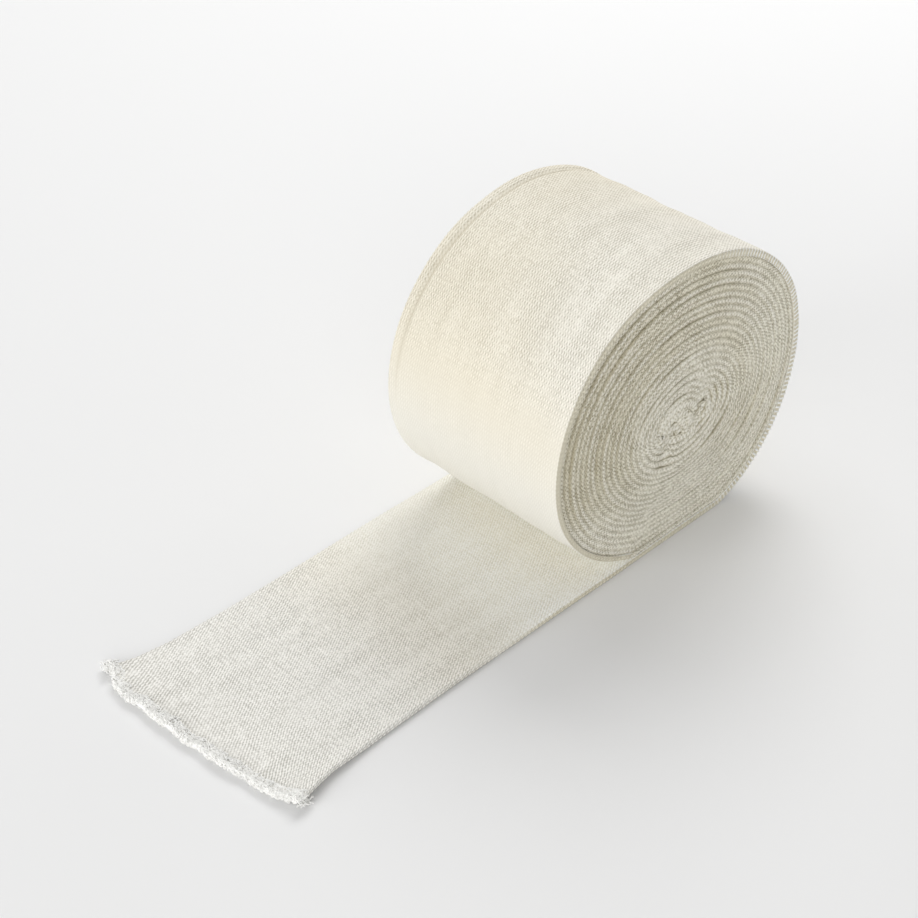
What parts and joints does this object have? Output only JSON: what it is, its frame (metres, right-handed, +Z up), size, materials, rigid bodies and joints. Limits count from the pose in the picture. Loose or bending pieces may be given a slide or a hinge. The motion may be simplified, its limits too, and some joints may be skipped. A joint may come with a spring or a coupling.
{
  "type": "tubular bandage roll",
  "caption": "Roll of knitted cotton tubular bandage, wound flat on itself, with its free end laid out on the surface and cut raw.",
  "frame": {"origin": "on the surface, under the middle of the roll, in the middle of the cloth's width", "axes": "+X along the roll's axis, +Y from the loose end towards the roll, +Z up"},
  "size_m": [0.0857, 0.2309, 0.1025],
  "materials": {
    "cotton_knit": "matt undyed cotton jersey knit, cream where it is thick and off-white where it is single"
  },
  "bodies": {
    "root": {"wound_roll": "cotton_knit", "loose_end": "cotton_knit"}
  },
  "joints": []
}
